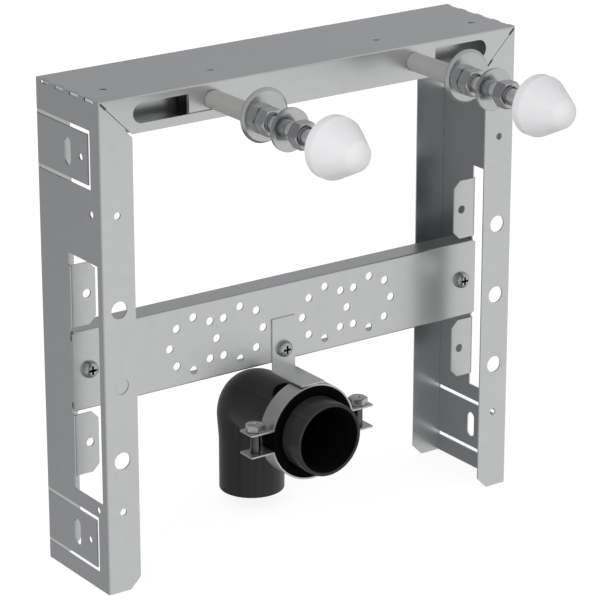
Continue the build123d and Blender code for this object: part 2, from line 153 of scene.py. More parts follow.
class Shader:
    """The node tree of a material or of the world, with one method that adds any node."""

    def __init__(self, owner):
        owner.use_nodes = True
        self.owner = owner
        self.tree = owner.node_tree
        self.tree.nodes.clear()

    def add(self, kind, settings=None, sockets=None, output=0):
        """Add a node of a kind, set its settings, then its sockets' values or links, and give one output."""
        node = self.tree.nodes.new(kind)
        for name, value in (settings or {}).items():
            if name == "stops":
                ramp = node.color_ramp
                while len(ramp.elements) < len(value):
                    ramp.elements.new(1.0)
                for element, (position, level) in zip(ramp.elements, value):
                    element.position = position
                    element.color = (level, level, level, 1.0)
            else:
                setattr(node, name, value)
        for name, value in (sockets or {}).items():
            if isinstance(value, Link):
                self.tree.links.new(value.socket, node.inputs[name])
            else:
                node.inputs[name].default_value = value
        return Link(self, node.outputs[output]) if len(node.outputs) else None

    def math(self, operation, first, second=0.0):
        """A Math node's result."""
        return self.add("ShaderNodeMath", {"operation": operation}, {0: first, 1: second})

    def place(self):
        """The point on the piece, in metres. In the world's shader it is the way the ray goes."""
        return self.add("ShaderNodeTexCoord", output="Object")

    def vector(self, operation, first, second=(0.0, 0.0, 0.0), output="Vector"):
        """A Vector Math node's result."""
        return self.add("ShaderNodeVectorMath", {"operation": operation}, {0: first, 1: second}, output)

    def noise(self, vector, scale, detail=2.0, roughness=0.5):
        """Smooth noise between 0 and 1, with features about 1 / scale long."""
        sockets = {"Vector": vector, "Scale": scale, "Detail": detail, "Roughness": roughness}
        return self.add("ShaderNodeTexNoise", None, sockets)

    def ramp(self, value, *stops):
        """A value carried through stops of (position, level)."""
        return self.add("ShaderNodeValToRGB", {"stops": stops}, {"Fac": value})

    def blend(self, mask, low, high):
        """A colour that goes from low to high as the mask goes from 0 to 1."""
        return self.add("ShaderNodeMix", {"data_type": "RGBA"}, {0: mask, 6: low, 7: high}, output=2)

    def axis(self, vector, name):
        """One coordinate of a vector."""
        return self.add("ShaderNodeSeparateXYZ", None, {0: vector}, output=name)

    def past(self, value, start, width):
        """0 up to a start, then rising to 1 over a width."""
        return self.ramp((value - start) / width, (0.0, 0.0), (1.0, 1.0))

    def band(self, value, start, end):
        """1 between a start and an end, and 0 outside them."""
        return self.past(value, start, 0.2 * MM) * (1.0 - self.past(value, end, 0.2 * MM))

    def radius(self, vector, centre, factors):
        """Distance from an axis, whose own direction has the factor 0."""
        flat = self.vector("MULTIPLY", self.vector("SUBTRACT", vector, centre), factors)
        return self.vector("LENGTH", flat, output="Value")

    def bump(self, height, strength, distance):
        """A normal tilted by the slope of a height."""
        sockets = {"Height": height, "Strength": strength, "Distance": distance}
        return self.add("ShaderNodeBump", None, sockets)

    def surface(self, **sockets):
        """The piece's own shader, wired to the output. Socket names are written with underscores."""
        named = {name.replace("_", " "): value for name, value in sockets.items()}
        shader = self.add("ShaderNodeBsdfPrincipled", None, named)
        self.add("ShaderNodeOutputMaterial", None, {"Surface": shader})
        return self.owner


def rgb(grey, red=0.0, blue=0.0):
    """A colour from its grey level as seen on a screen, 0 to 255, with shares of red and blue added to it."""
    level = grey / 255
    linear = level / 12.92 if level <= 0.04045 else ((level + 0.055) / 1.055) ** 2.4
    return (linear * (1 + red), linear, linear * (1 + blue), 1.0)


def new_shader(name):
    """An empty material under a name."""
    return Shader(bpy.data.materials.new(name))


def sheet_finish(name, along, grey, roughness, shade_behind=None, inside=None):
    """Zinc-coated sheet: fine rolling lines along one axis, soft clouds and faint zinc crystals.

    Behind the depth given by shade_behind, if there is one, the sheet is painted dark as painted shade. A
    channel's inner faces are painted a darker bluish grey as painted shade, given by inside as the web's distance
    from the middle and the depths between which it runs, the second being that of the rear flange.
    """
    shader = new_shader(name)
    place = shader.place()
    fine, coarse = 1600.0, 26.0
    factors = [coarse if axis == along else fine for axis in "XYZ"]
    lines = shader.noise(shader.vector("MULTIPLY", place, factors), 1.0, 3.0, 0.6)
    clouds = shader.noise(place, 17.0, 4.0, 0.55)
    crystals = shader.add("ShaderNodeTexVoronoi", None, {"Vector": place, "Scale": 150.0}, output="Color")
    flakes = shader.add("ShaderNodeSeparateColor", None, {"Color": crystals}, output="Red")
    tone = lines * 0.34 + clouds * 0.46 + flakes * 0.2
    mask = shader.ramp(tone, (0.3, 0.0), (0.7, 1.0))
    colour = shader.blend(mask, rgb(grey - 2, -0.015), rgb(grey + 2, -0.015))
    depth = shader.axis(place, "Y")
    if shade_behind is not None:
        # Painted shade: the slider's side behind its front is painted dark
        colour = shader.blend(shader.past(depth, shade_behind, 0.6 * MM), colour, rgb(SLIDER_PAINTED_SHADE))
    if inside is not None:
        web, front, rear = inside
        # Painted shade: a channel's inner web and rear flange faces are painted a darker bluish grey
        out = shader.math("ABSOLUTE", shader.axis(place, "X"))
        web_face = shader.band(out, web - 0.6 * MM, web + 0.1 * MM) * shader.band(depth, front, rear)
        rear_face = shader.band(depth, rear - 0.6 * MM, rear + 0.1 * MM) * shader.band(out, 0.0, web)
        painted_channel_shade = shader.math("MAXIMUM", web_face, rear_face * 0.3)
        colour = shader.blend(painted_channel_shade, colour, rgb(CHANNEL_PAINTED_SHADE, -0.03, 0.03))
    rough = roughness + 0.03 * (clouds - 0.5) + 0.05 * (lines - 0.5) - 0.01 * flakes
    bump = shader.bump(lines, 0.08, 0.008 * MM)
    return shader.surface(Base_Color=colour, Metallic=0.94, Roughness=rough, Normal=bump)


def zinc_finish(name, grey, roughness, recess=None, shade_below=None):
    """Bright zinc plating of small hardware: clouded gloss with fine tool marks.

    A recess, given by the middle of its face, its depth there and its radius, is painted dark inside as painted
    shade. Below the level given by shade_below the piece is painted a darker grey as painted shade.
    """
    shader = new_shader(name)
    place = shader.place()
    clouds = shader.noise(place, 180.0, 4.0, 0.6)
    marks = shader.noise(shader.vector("MULTIPLY", place, (900.0, 2600.0, 900.0)), 1.0, 2.0, 0.7)
    mask = shader.ramp(clouds * 0.6 + marks * 0.4, (0.3, 0.0), (0.72, 1.0))
    colour = shader.blend(mask, rgb(grey - 6, -0.01, 0.01), rgb(grey + 4, -0.01, 0.01))
    if recess is not None:
        centre, depth, reach = recess
        # Painted shade: the recess is painted dark inside
        deep = shader.past(shader.axis(place, "Y"), centre[1] + depth, 0.15 * MM)
        near = 1.0 - shader.past(shader.radius(place, centre, (1.0, 0.0, 1.0)), reach, 0.1 * MM)
        colour = shader.blend(deep * near, colour, rgb(SCREW_RECESS_SHADE))
    if shade_below is not None:
        # Painted shade: below the level the piece is painted a darker grey
        low = 1.0 - shader.past(shader.axis(place, "Z"), shade_below - 0.2 * MM, 0.2 * MM)
        colour = shader.blend(low, colour, rgb(BOLT_SHANK_PAINTED_SHADE))
    rough = roughness + 0.08 * (clouds - 0.5) + 0.06 * (marks - 0.5)
    bump = shader.bump(marks, 0.1, 0.01 * MM)
    return shader.surface(Base_Color=colour, Metallic=1.0, Roughness=rough, Normal=bump)


def plastic_finish(name, greys, roughness, depth, blue=0.0, gloss=0.5):
    """Moulded plastic or rubber: two close tones, a fine grain of some depth and flow marks in the gloss."""
    shader = new_shader(name)
    place = shader.place()
    clouds = shader.noise(place, 34.0, 3.0, 0.5)
    specks = shader.noise(place, 2600.0, 2.0, 0.6)
    dark, light = (rgb(grey, 0.0, blue) for grey in greys)
    colour = shader.blend(clouds * 0.7 + specks * 0.3, dark, light)
    rough = roughness + 0.14 * (clouds - 0.5) + 0.1 * (specks - 0.5)
    bump = shader.bump(specks, 0.25, depth)
    return shader.surface(Base_Color=colour, Roughness=rough, Normal=bump, Specular_IOR_Level=gloss)


def pipe_finish(name, greys, roughness, mouth, bore, depth):
    """Black pipe plastic with faint lengthwise streaks that run along the level and the upright run alike: draw
    marks in gloss and bump, and painted reflection bands in the colour.

    Within the bore, counted from the middle of the mouth, and up to the depth the plastic is matt and painted
    near black as painted shade.
    """
    shader = new_shader(name)
    place = shader.place()
    # The streaks' colour is painted reflection bands; their gloss and bump are draw marks
    streaks = shader.noise(shader.vector("MULTIPLY", place, (1.0, 0.0, 0.0)), 260.0, 3.0, 0.6)
    clouds = shader.noise(place, 30.0, 3.0, 0.5)
    mask = shader.ramp(streaks * 0.8 + clouds * 0.2, (0.35, 0.0), (0.65, 1.0))
    # Painted shade: the bore behind the mouth is painted near black
    within = 1.0 - shader.past(shader.radius(place, mouth, (1.0, 0.0, 1.0)), bore + 0.3 * MM, 0.1 * MM)
    within = within * (1.0 - shader.past(shader.axis(place, "Y"), mouth[1] + depth, 0.1 * MM))
    colour = shader.blend(within, shader.blend(mask, *map(rgb, greys)), rgb(PIPE_BORE_PAINTED_SHADE))
    rough = roughness + 0.1 * (streaks - 0.5) + 0.06 * (clouds - 0.5) + 0.5 * within
    bump = shader.bump(streaks, 0.1, 0.05 * MM)
    return shader.surface(Base_Color=colour, Roughness=rough, Normal=bump, Specular_IOR_Level=0.27)


def milky_finish(name, grey, centre, edge, rim, wall):
    """White moulded plastic that lets a little light through, painted a darker grey inside as painted shade.

    A point is inside where it is nearer to the axis than the cone's radius at its height, less half the wall,
    and no higher than the hollow. The cone's radius is that of the edge, less slope * (height - rim). The axis
    stands at the same distance on both sides of the frame, so x is taken without its sign.
    """
    shader = new_shader(name)
    place = shader.place()
    clouds = shader.noise(place, 46.0, 3.0, 0.5)
    specks = shader.noise(place, 2400.0, 2.0, 0.6)
    colour = shader.blend(clouds, rgb(grey - 5), rgb(grey + 3))
    # Painted shade: the cap's inner faces are painted a darker grey
    reach = shader.radius(shader.vector("ABSOLUTE", place), centre, (1.0, 0.0, 1.0))
    height = centre[1] - shader.axis(place, "Y")
    cone = edge - CAP_SLOPE * shader.math("MAXIMUM", height - rim, 0.0)
    inner = shader.past(cone - reach, wall * 0.5, 0.2 * MM) * (1.0 - shader.past(height, CAP_HOLLOW, 0.2 * MM))
    colour = shader.blend(inner, colour, rgb(CAP_INSIDE_PAINTED_SHADE))
    rough = 0.36 + 0.12 * (clouds - 0.5) + 0.06 * (specks - 0.5)
    bump = shader.bump(specks, 0.15, 0.02 * MM)
    return shader.surface(Base_Color=colour, Roughness=rough, Normal=bump, Subsurface_Weight=0.35,
                          Subsurface_Radius=(1.0, 0.95, 0.9), Subsurface_Scale=3.0 * MM)


# Surfaces

def solid(name, points, rows_close, material, replaced):
    """Make a piece from a grid of points, rows by columns, whose columns close on themselves.

    A face joins the points (r, c), (r, c + 1), (r + 1, c + 1) and (r + 1, c). The rows close on themselves
    too where rows_close says so. Points that fall together, as at a pole, are merged.
    """
    rows, columns = points.shape[:2]
    row = np.arange(rows if rows_close else rows - 1)[:, None]
    column = np.arange(columns)[None, :]
    next_row = (row + 1) % rows
    next_column = (column + 1) % columns
    corners = (row * columns + column, row * columns + next_column,
               next_row * columns + next_column, next_row * columns + column)
    faces = np.stack([np.broadcast_to(c, (len(row), columns)) for c in corners], axis=-1).reshape(-1, 4)
    mesh = bpy.data.meshes.new(name)
    mesh.from_pydata(points.reshape(-1, 3), [], faces.tolist())
    return settle(name, mesh, material, replaced)


def settle(name, mesh, material, replaced):
    """Merge a mesh's doubles, turn its faces outwards, smooth it, and let it stand for a solid."""
    work = bmesh.new()
    work.from_mesh(mesh)
    bmesh.ops.remove_doubles(work, verts=work.verts, dist=0.0005 * MM)
    bmesh.ops.dissolve_degenerate(work, edges=work.edges, dist=0.0001 * MM)
    bmesh.ops.recalc_face_normals(work, faces=work.faces)
    work.to_mesh(mesh)
    work.free()
    mesh.polygons.foreach_set("use_smooth", np.ones(len(mesh.polygons), bool))
    mesh.set_sharp_from_angle(angle=SMOOTH_ANGLE)
    piece = in_scene(name, mesh)
    mesh.materials.append(material)
    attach(piece, BODY)
    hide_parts(replaced)
    return piece


def in_scene(name, data):
    """A new object in the scene."""
    thing = bpy.data.objects.new(name, data)
    bpy.context.scene.collection.objects.link(thing)
    return thing


def middle(node):
    """The middle of a node's box."""
    low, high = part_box(node)
    return (np.array(low) + np.array(high)) / 2


def on_axis(node, depth):
    """The point at a depth on the level axis through the middle of a node's box."""
    x, _, z = middle(node)
    return np.array((x, depth, z))


def extent(node):
    """The size of a node's box."""
    low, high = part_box(node)
    return np.array(high) - np.array(low)


def full_turn(count=ROUND_COLUMNS):
    """Angles evenly spaced round a circle, without the last."""
    return np.linspace(0, 2 * np.pi, count, endpoint=False)


def around(centre, axis, radii, heights, angles, turn=0.0):
    """Points at radius and height about an axis: centre + height * axis + radius * (cos a * e + sin a * f).

    Radii and heights are arrays of rows by columns, or of rows alone. e and f span the plane across the axis.
    """
    axis = np.array(axis, float)
    helper = np.array(UPWARD if abs(axis[2]) < 0.9 else (1, 0, 0), float)
    first = np.cross(helper, axis)
    first /= np.linalg.norm(first)
    second = np.cross(axis, first)
    radii = np.broadcast_to(np.asarray(radii, float).reshape(len(radii), -1), (len(radii), len(angles)))
    heights = np.broadcast_to(np.asarray(heights, float).reshape(len(heights), -1), radii.shape)
    spin = np.cos(angles + turn)[:, None] * first + np.sin(angles + turn)[:, None] * second
    return np.array(centre) + radii[..., None] * spin[None] + heights[..., None] * axis


def rounded(corner, before, after, radius, steps=4):
    """Points of an arc that rounds a profile's corner between its neighbours.

    The arc is a quadratic curve from a point at the radius before the corner to one at the radius after it.
    """
    corner, before, after = (np.array(p, float) for p in (corner, before, after))
    start = corner + radius * (before - corner) / np.linalg.norm(before - corner)
    end = corner + radius * (after - corner) / np.linalg.norm(after - corner)
    t = np.linspace(0, 1, steps + 1)[:, None]
    return (1 - t) ** 2 * start + 2 * t * (1 - t) * corner + t**2 * end


def soft_loop(points, radius, steps=3):
    """A closed profile of (radius, height) points with each corner rounded."""
    count = len(points)
    arcs = [rounded(points[i], points[i - 1], points[(i + 1) % count], radius, steps) for i in range(count)]
    return np.concatenate(arcs)


def hexagon_rows(angles, flats, height, face_radius):
    """Rows of a hexagon's side between two end faces whose corners are turned off at 30 degrees.

    The side is half the flats over cos of the angle to the flat away from the middle. Where that is past the
    end face's circle, the cone brings it back by the same reach times tan 30.
    """
    reach = flats / 2 / np.cos((angles + np.pi / 6) % (np.pi / 3) - np.pi / 6)
    fall = np.maximum(reach - face_radius, 0) * math.tan(math.radians(30))
    face = np.full_like(angles, face_radius)
    radii = [face, face + (reach - face) * 0.5, reach, reach, face + (reach - face) * 0.5, face]
    heights = [0 * fall, fall * 0.5, fall, height - fall, height - fall * 0.5, height + 0 * fall]
    return np.array(radii), np.array(heights)


def nut(node, axis, flats, bore, turn, material):
    """Hexagon nut in a node's box: a closed loop of rows through the bore and over the six sides.

    The bore opens at both faces into a steep countersink.
    """
    along = int(np.argmax(np.abs(axis)))
    height = extent(node)[along]
    base = middle(node) - np.array(axis) * height / 2
    angles = full_turn()
    face_radius = flats / 2 * 0.95
    side_radii, side_heights = hexagon_rows(angles, flats, height, face_radius)
    sink, sink_width = 2.0 * MM, 1.3 * MM
    ones = np.ones_like(angles)
    mouth = ones * (bore + sink_width)
    radii = np.vstack([ones * bore, mouth, side_radii, mouth, ones * bore])
    heights = np.vstack([ones * sink, ones * 0, side_heights, ones * height, ones * (height - sink)])
    points = around(base, axis, radii, heights, angles, turn)
    return solid(node, points, True, material, node)


def bezel_ring(node, bore, rise, bevel, edge, material):
    """Round washer in a node's box, bevelled in front: a loop of rows from the hole to the rim and back.

    A row at radius r has its centre raised by rise * (r - bore) / (rim - bore), so the hole may be eccentric.
    """
    size = extent(node)
    rim = size[0] / 2
    centre = middle(node) - np.array((0, 0, rise))
    half = size[1] / 2
    front = [(rim, half - bevel), (rim - bevel, half)] if bevel else [(rim, half)]
    profile = soft_loop([(bore, -half), (rim, -half), *front, (bore, half)], edge)
    angles = full_turn(FINE_COLUMNS)
    points = around(centre, FORWARD, profile[:, 0], profile[:, 1], angles)
    points[..., 2] += (rise * (profile[:, 0] - bore) / (rim - bore))[:, None]
    return solid(node, points, True, material, node)


def spacer_sleeve(node, bore, edge, material):
    """Sleeve in a node's box: a round-cornered rectangle, from the bore to the outside, turned about its axis."""
    _, length, width = extent(node)
    outer, half = width / 2, length / 2
    profile = soft_loop([(bore, -half), (outer, -half), (outer, half), (bore, half)], edge)
    points = around(middle(node), FORWARD, profile[:, 0], profile[:, 1], full_turn())
    return solid(node, points, True, material, node)


def threaded_rod(node, pitch, depth, material):
    """Threaded rod in a node's box.

    The radius at height h and angle a is the crest less the depth times a rounded saw of h / pitch - a / turn.
    The saw is flat over a sixth of its height at the crest and at the root. Both ends shrink below the root
    and are closed by flat discs.
    """
    low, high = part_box(node)
    crest = (high[0] - low[0]) / 2
    length = high[1] - low[1]
    angles = full_turn(48)
    step = pitch / 10
    heights = np.arange(0, length, step)
    phase = heights[:, None] / pitch - angles[None, :] / (2 * np.pi)
    saw = np.abs((phase % 1) * 2 - 1)
    groove = 0.5 - 0.5 * np.cos(np.pi * np.clip(saw * 1.5 - 0.25, 0, 1))
    lead = 1.2 * MM
    ends = np.clip(np.minimum(heights, length - heights) / lead, 0, 1)[:, None]
    radii = (crest - depth * groove) - depth * 1.3 * (1 - ends)
    radii = np.vstack([0 * radii[:1], radii, 0 * radii[:1]])
    rows = np.concatenate([heights[:1], heights, heights[-1:]])
    points = around(on_axis(node, high[1]), FORWARD, radii, rows, angles)
    return solid(node, points, False, material, node)


def basin_cap(node, wall, boss, rim, tip, material):
    """Cap over a stud's end, turned about its axis: a rim, a cone and a domed tip, hollow behind.

    The cone leans as the line does that leaves the rim's end and touches the tip's circle, so the angle of the
    touching point comes from the distance between them and the tip's radius. It ends in a crease, and the dome
    beyond is the top of an ellipse: radius lip * cos a / cos b, and height in step with sin a, from a = b up.
    """
    low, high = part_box(node)
    outer = (high[0] - low[0]) / 2
    length = high[1] - low[1]

    def skin(inset):
        edge = outer - inset
        centre = length - tip
        reach = tip - inset
        gap = math.hypot(edge, centre - rim)
        lean = math.atan2(centre - rim, edge)
        touch = math.acos(reach / gap) - lean
        turns = np.linspace(touch, math.pi / 2, 16)
        arc = np.stack([reach * np.cos(turns), centre + reach * np.sin(turns)], axis=-1)
        return edge, arc

    edge, arc = skin(0)
    inner_edge, inner_arc = skin(wall)
    mouth = rounded((edge, 0), (inner_edge, 0), (edge, rim), 0.5 * MM)
    shoulder = rounded((edge, rim), (edge, 0), arc[0], 0.8 * MM, 8)
    lip_radius, lip_height = 0.86 * tip, length - 0.433 * tip
    turns = np.linspace(math.radians(50), math.pi / 2, 16)
    rise = (np.sin(turns) - math.sin(turns[0])) / (1 - math.sin(turns[0]))
    dome_radii = lip_radius * np.cos(turns) / math.cos(turns[0])
    dome = np.stack([dome_radii, lip_height + (length - lip_height) * rise], axis=-1)
    outside = np.vstack([mouth, shoulder, dome])
    floor = length - tip - 1.8 * wall
    inside = np.array([(0, floor), (boss - wall, floor), (boss - wall, wall), (boss, wall), (boss, floor - wall)])
    back = np.vstack([inner_arc[:3][::-1], [(inner_edge, rim)], [(inner_edge, 0)]])
    loop = np.vstack([inside, back, outside])
    points = around(on_axis(node, high[1]), FORWARD, loop[:, 0], loop[:, 1], full_turn(FINE_COLUMNS))
    cap = solid(node, points, False, material, node)
    cap.data.set_sharp_from_angle(angle=CAP_CREASE_ANGLE)
    return cap


def waste_bend(node, s, material):
    """Elbow from its mouth at the front to its spigot below, with a bend closer than its own radius.

    Each column of points stands at an angle a round the pipe, at radius r. Its lever is bend + r * cos a, the
    distance from the axis of the bend. Where the lever is above 0 the column turns on that arc, and where it is
    below 0, on the inside, the level and the upright run meet in a sharp corner on the mitre plane.
    """
    low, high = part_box(node)
    mouth_level = high[2] - s.socket
    outlet_y = high[1] - s.body
    bend_y = outlet_y - s.bend
    bend_z = mouth_level - s.bend
    angles = full_turn(FINE_COLUMNS)
    side, away = np.sin(angles), np.cos(angles)

    def level_row(depth, radius):
        """A ring of the level run at a depth behind the mouth."""
        return np.stack([radius * side, low[1] + depth + 0 * angles, mouth_level + radius * away], axis=-1)

    def turn_row(radius, angle):
        """A ring of the bend at an angle turned so far."""
        lever = s.bend + radius * away
        arc, inside = np.maximum(lever, 0), np.minimum(lever, 0)
        return np.stack([radius * side, bend_y + arc * math.sin(angle) + inside,
                         bend_z + arc * math.cos(angle) + inside], axis=-1)

    def upright_row(height, radius, roof):
        """A ring of the upright run at a height, kept a little below the ring above it."""
        heights = np.minimum(height, roof[:, 2] - 0.5 * MM)
        return np.stack([radius * side, outlet_y + radius * away, heights], axis=-1)

    soft = 0.7 * MM
    bore = s.pipe - s.wall
    quarter = np.linspace(0, math.pi / 2, 25)
    mouth = rounded((0, s.socket), (0, s.socket_bore), (s.socket_length, s.socket), soft)
    end = rounded((low[2], s.pipe), (s.spigot_level, s.pipe), (low[2], bore), soft)
    rows = [level_row(depth, radius) for depth, radius in mouth]
    rows.append(level_row(s.socket_length, s.socket))
    rows += [turn_row(s.body, angle) for angle in quarter]
    spigot = upright_row(s.spigot_level, s.pipe, rows[-1])
    rows += [spigot] + [upright_row(height, radius, spigot) for height, radius in end]
    rows += [turn_row(bore, angle) for angle in quarter[::-1]]
    socket = ((s.socket_depth, bore), (s.socket_depth, s.socket_bore), (soft / 2, s.socket_bore))
    rows += [level_row(depth, radius) for depth, radius in socket]
    return solid(node, np.array(rows), True, material, node)


def cross_reach(angles, span, width):
    """Distance from the middle of a plus sign to its outline: the farther of its two bars' outlines."""
    c = np.maximum(np.abs(np.cos(angles)), 1e-6)
    s = np.maximum(np.abs(np.sin(angles)), 1e-6)
    lying = np.minimum(span / 2 / c, width / 2 / s)
    upright = np.minimum(width / 2 / c, span / 2 / s)
    return np.maximum(lying, upright)


def pan_screw(node, head, shank, span, width, depth, material):
    """Pan head screw with a cross recess, from the recess's floor over the dome to the shank's end.

    The dome's height at radius r is head height * sqrt(1 - (r / rim) ** 4). Rows run from the plus-shaped
    outline of the recess to the rim, and inside it down to a smaller plus on the recess's floor.
    """
    low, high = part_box(node)
    centre = on_axis(node, low[1] + head)
    rim = (high[0] - low[0]) / 2
    length = high[1] - centre[1]
    corner = math.atan2(width, span)
    knots = [q * math.pi / 2 + a for q in range(4) for a in (-corner, corner, math.pi / 4, math.pi / 2 - corner)]
    knots = sorted(k % (2 * math.pi) for k in set(knots))
    knots.append(knots[0] + 2 * math.pi)
    angles = np.concatenate([np.linspace(a, b, 7)[:-1] for a, b in zip(knots, knots[1:]) if b - a > 1e-6])
    outline = cross_reach(angles, span, width)

    def dome(r):
        return head * np.sqrt(np.clip(1 - (r / rim) ** 4, 0, 1))

    ones = np.ones_like(angles)
    level = head * 0.985
    floor = outline * 0.62
    lip = outline * 1.05
    radii = [0 * ones, floor, outline, lip]
    heights = [ones * (level - depth), ones * (level - depth * 0.9), dome(outline) - 0.08 * MM, dome(lip)]
    for share in np.sin(np.linspace(0, np.pi / 2, 15))[1:]:
        radius = lip + (rim - lip) * share
        radii.append(radius)
        heights.append(dome(radius))
    point = 0.6 * MM
    radii += [ones * rim, ones * shank, ones * shank, ones * (shank - point), 0 * ones]
    heights += [0 * ones, 0 * ones, ones * (point - length), -ones * length, -ones * length]
    points = around(centre, FORWARD, np.array(radii), np.array(heights), angles)
    return solid(node, points, False, material, node)


def hexagon_bolt(node, flats, head, shank, dimple, turn, material):
    """Bolt with a dimpled hexagon head on top and a plain shank that points down.

    At the share b of its radius the dimple lies 0.7 * dimple * sqrt(1 - b * b) below the head's face.
    """
    low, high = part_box(node)
    base = np.array(((low[0] + high[0]) / 2, (low[1] + high[1]) / 2, high[2] - head))
    length = base[2] - low[2]
    angles = full_turn()
    face_radius = flats / 2 * 0.94
    side_radii, side_heights = hexagon_rows(angles, flats, head, face_radius)
    ones = np.ones_like(angles)
    bowl = np.sin(np.linspace(0, np.pi / 2, 6))
    top_radii = [ones * dimple * b for b in bowl]
    top_heights = [ones * (head - dimple * 0.7 * math.cos(math.asin(b))) for b in bowl]
    point = 0.8 * MM
    radii = top_radii + list(side_radii[::-1]) + [ones * shank, ones * shank, ones * (shank - point), 0 * ones]
    low_rows = [0 * ones, ones * (point - length), -ones * length, -ones * length]
    heights = top_heights + list(side_heights[::-1]) + low_rows
    points = around(base, UPWARD, np.array(radii), np.array(heights), angles, turn)
    return solid(node, points, False, material, node)


def rubber_lining(node, bore, tongue_radius, tongue_thickness, tongue_reach, bead, material):
    """Rubber ring with a thick rounded bead at each rim, turned about the pipe's axis, and its tongue."""
    low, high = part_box(node)
    outer = (high[0] - low[0]) / 2
    width = high[1] - low[1] - tongue_reach
    profile = soft_loop([(bore, 0), (outer, 0), (outer, width), (bore, width)], bead, 6)
    base = np.array((0.0, low[1], (low[2] + high[2]) / 2))
    ring = around(base, BACKWARD, profile[:, 0], profile[:, 1], full_turn(144))
    solid(node, ring, True, material, node)
    tongue(node, bore, tongue_radius, tongue_thickness, tongue_reach, base, material)


def tongue(node, bore, radius, thickness, reach, base, material):
    """Round-ended rubber tongue that lies on the pipe behind the ring.

    Its outline in plan is a half circle with straight sides that run under the ring. A point at the share s of
    the way from the middle to the outline, x to the side, stands at sqrt((bore + t) ** 2 - x * x) above the
    pipe's axis, and t falls from the thickness to 0 over the rim. The whole is turned aside about that axis.
    """
    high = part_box(node)[1]
    centre = np.array((0.0, high[1] - radius, base[2]))
    turn = full_turn()
    side, along = np.cos(turn) * radius, np.sin(turn) * radius
    tail = high[1] - reach - 4 * MM - centre[1]
    along = np.where(np.sin(turn) < 0, np.maximum(along * 4, tail), along)
    rows = []
    for share, height in ((0, 0), (1, 0), (1, 0.7), (0.97, 0.93), (0.93, 1), (0.6, 1), (0, 1)):
        x, y = side * share, along * share
        lift = np.sqrt((bore + height * thickness) ** 2 - x**2)
        across = x * math.cos(TONGUE_TURN) + lift * math.sin(TONGUE_TURN)
        upward = lift * math.cos(TONGUE_TURN) - x * math.sin(TONGUE_TURN)
        rows.append(np.stack([across, centre[1] + y, centre[2] + upward], axis=-1))
    return solid(f"{node}_tongue", np.array(rows), False, material, node)


# Sheet pieces keep their solids

def smoothing_group():
    """Geometry nodes that smooth every face and keep edges sharp past an angle."""
    tree = bpy.data.node_groups.new("smooth_by_edge_angle", "GeometryNodeTree")
    tree.interface.new_socket("Geometry", in_out="INPUT", socket_type="NodeSocketGeometry")
    tree.interface.new_socket("Geometry", in_out="OUTPUT", socket_type="NodeSocketGeometry")
    start = tree.nodes.new("NodeGroupInput")
    end = tree.nodes.new("NodeGroupOutput")
    faces = tree.nodes.new("GeometryNodeSetShadeSmooth")
    edges = tree.nodes.new("GeometryNodeSetShadeSmooth")
    edges.domain = "EDGE"
    edges.inputs["Shade Smooth"].default_value = False
    angle = tree.nodes.new("GeometryNodeInputMeshEdgeAngle")
    limit = tree.nodes.new("FunctionNodeCompare")
    limit.operation = "GREATER_THAN"
    limit.inputs["B"].default_value = SMOOTH_ANGLE
    tree.links.new(start.outputs[0], faces.inputs["Geometry"])
    tree.links.new(faces.outputs[0], edges.inputs["Geometry"])
    tree.links.new(angle.outputs["Unsigned Angle"], limit.inputs["A"])
    tree.links.new(limit.outputs[0], edges.inputs["Selection"])
    tree.links.new(edges.outputs[0], end.inputs[0])
    return tree


def dress(node, material, edge):
    """Give a solid that stays its finish, and round its edges a little without changing its own mesh."""
    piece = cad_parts[node]
    if not piece.material_slots:
        piece.data.materials.append(material)
    for slot in piece.material_slots:
        slot.link = "OBJECT"
        slot.material = material
    group = bpy.data.node_groups.get("smooth_by_edge_angle") or smoothing_group()
    flat = {"decimate_type": "DISSOLVE", "angle_limit": math.radians(0.5)}
    bevel = {"width": edge, "segments": 2, "limit_method": "ANGLE", "angle_limit": math.radians(40)}
    for kind, settings in (("WELD", {"merge_threshold": 0.002 * MM}), ("DECIMATE", flat), ("BEVEL", bevel),
                           ("NODES", {"node_group": group}),
                           ("WEIGHTED_NORMAL", {"keep_sharp": True, "weight": 100})):
        modifier = piece.modifiers.new(kind.capitalize(), kind)
        for name, value in settings.items():
            setattr(modifier, name, value)


# Settings shown in the sidebar

def size_setting(name, description, default):
    """A length."""
    return FloatProperty(name=name, description=description, default=default, unit="LENGTH", precision=5)


def grey_setting(name, description, default):
    """A grey as seen on a screen."""
    return FloatProperty(name=name, description=description, default=default, min=0, max=255)


def share_setting(name, description, default):
    """A share between 0 and 1."""
    return FloatProperty(name=name, description=description, default=default, min=0, max=1, subtype="FACTOR")


def place_setting(name, description, default):
    """A point in the room."""
    return FloatVectorProperty(name=name, description=description, default=default, subtype="TRANSLATION",
                               unit="LENGTH")


class SheetSettings(PropertyGroup):
    """Finish of the folded sheet."""
    grey: grey_setting("Grey", "Screen grey of the zinc coat", 210)
    roughness: share_setting("Roughness", "Blur of the sheet's gloss", 0.3)
    edge: size_setting("Edge", "Rounding of the cut edges", 0.25 * MM)


